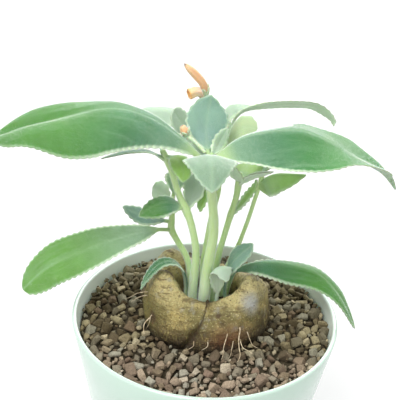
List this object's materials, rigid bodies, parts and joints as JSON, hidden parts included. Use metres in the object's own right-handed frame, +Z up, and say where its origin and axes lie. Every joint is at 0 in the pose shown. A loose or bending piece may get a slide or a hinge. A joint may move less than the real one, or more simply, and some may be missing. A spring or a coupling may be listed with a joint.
{
  "type": "potted sinningia",
  "caption": "Sinningia with a lobed tuber, velvety toothed leaves and salmon tubular flowers, growing in a glossy tapered pot of grit; an ornamental plant that stands on its flat base.",
  "frame": {"origin": "middle of the pot's flat base, on the surface it stands on", "axes": "+Z up along the pot's axis, -Y towards the viewer of the picture, +X to the viewer's right"},
  "size_m": [0.1807, 0.13, 0.2311],
  "materials": {
    "pot": "smooth pale mint gloss",
    "gravel": "rough porous grit, brown, grey and tan",
    "tuber": "dull tan skin with pits and soil stains",
    "stem": "fresh green under short white hairs",
    "leaf": "velvety green with a pale fuzz",
    "calyx": "woolly pale green",
    "corolla": "soft salmon orange, finely hairy"
  },
  "bodies": {
    "root": {"pot": "pot", "gravel": "gravel", "tuber": "tuber", "stem_main": "stem", "stem_left": "stem", "stem_far_left": "stem", "stem_back": "stem", "stem_right": "stem", "stem_far_right": "stem", "leaf_main_left": "leaf", "leaf_main_right": "leaf", "leaf_main_front": "leaf", "leaf_main_back": "leaf", "leaf_main_young": "leaf", "leaf_main_inner": "leaf", "leaf_left_low_out": "leaf", "leaf_left_low_up": "leaf", "leaf_left_top_out": "leaf", "leaf_left_top_in": "leaf", "leaf_left_top_back": "leaf", "leaf_far_left_long": "leaf", "leaf_far_left_short": "leaf", "leaf_far_left_top_out": "leaf", "leaf_far_left_top_back": "leaf", "leaf_back_left": "leaf", "leaf_back_silver": "leaf", "leaf_back_right": "leaf", "leaf_back_short": "leaf", "leaf_back_pale": "leaf", "leaf_back_rear": "leaf", "leaf_back_low": "leaf", "leaf_right_narrow": "leaf", "leaf_right_near": "leaf", "leaf_right_out": "leaf", "leaf_right_back": "leaf", "leaf_far_right_out": "leaf", "leaf_far_right_back": "leaf", "leaf_crown_arch": "leaf", "leaf_crown_upright": "leaf", "leaf_crown_curled": "leaf", "leaf_crown_young": "leaf", "leaf_crown_long": "leaf", "flower_stalk": "calyx", "flower_tall": "corolla", "flower_short": "corolla", "bud_stalk": "calyx", "bud": "corolla"}
  },
  "joints": []
}
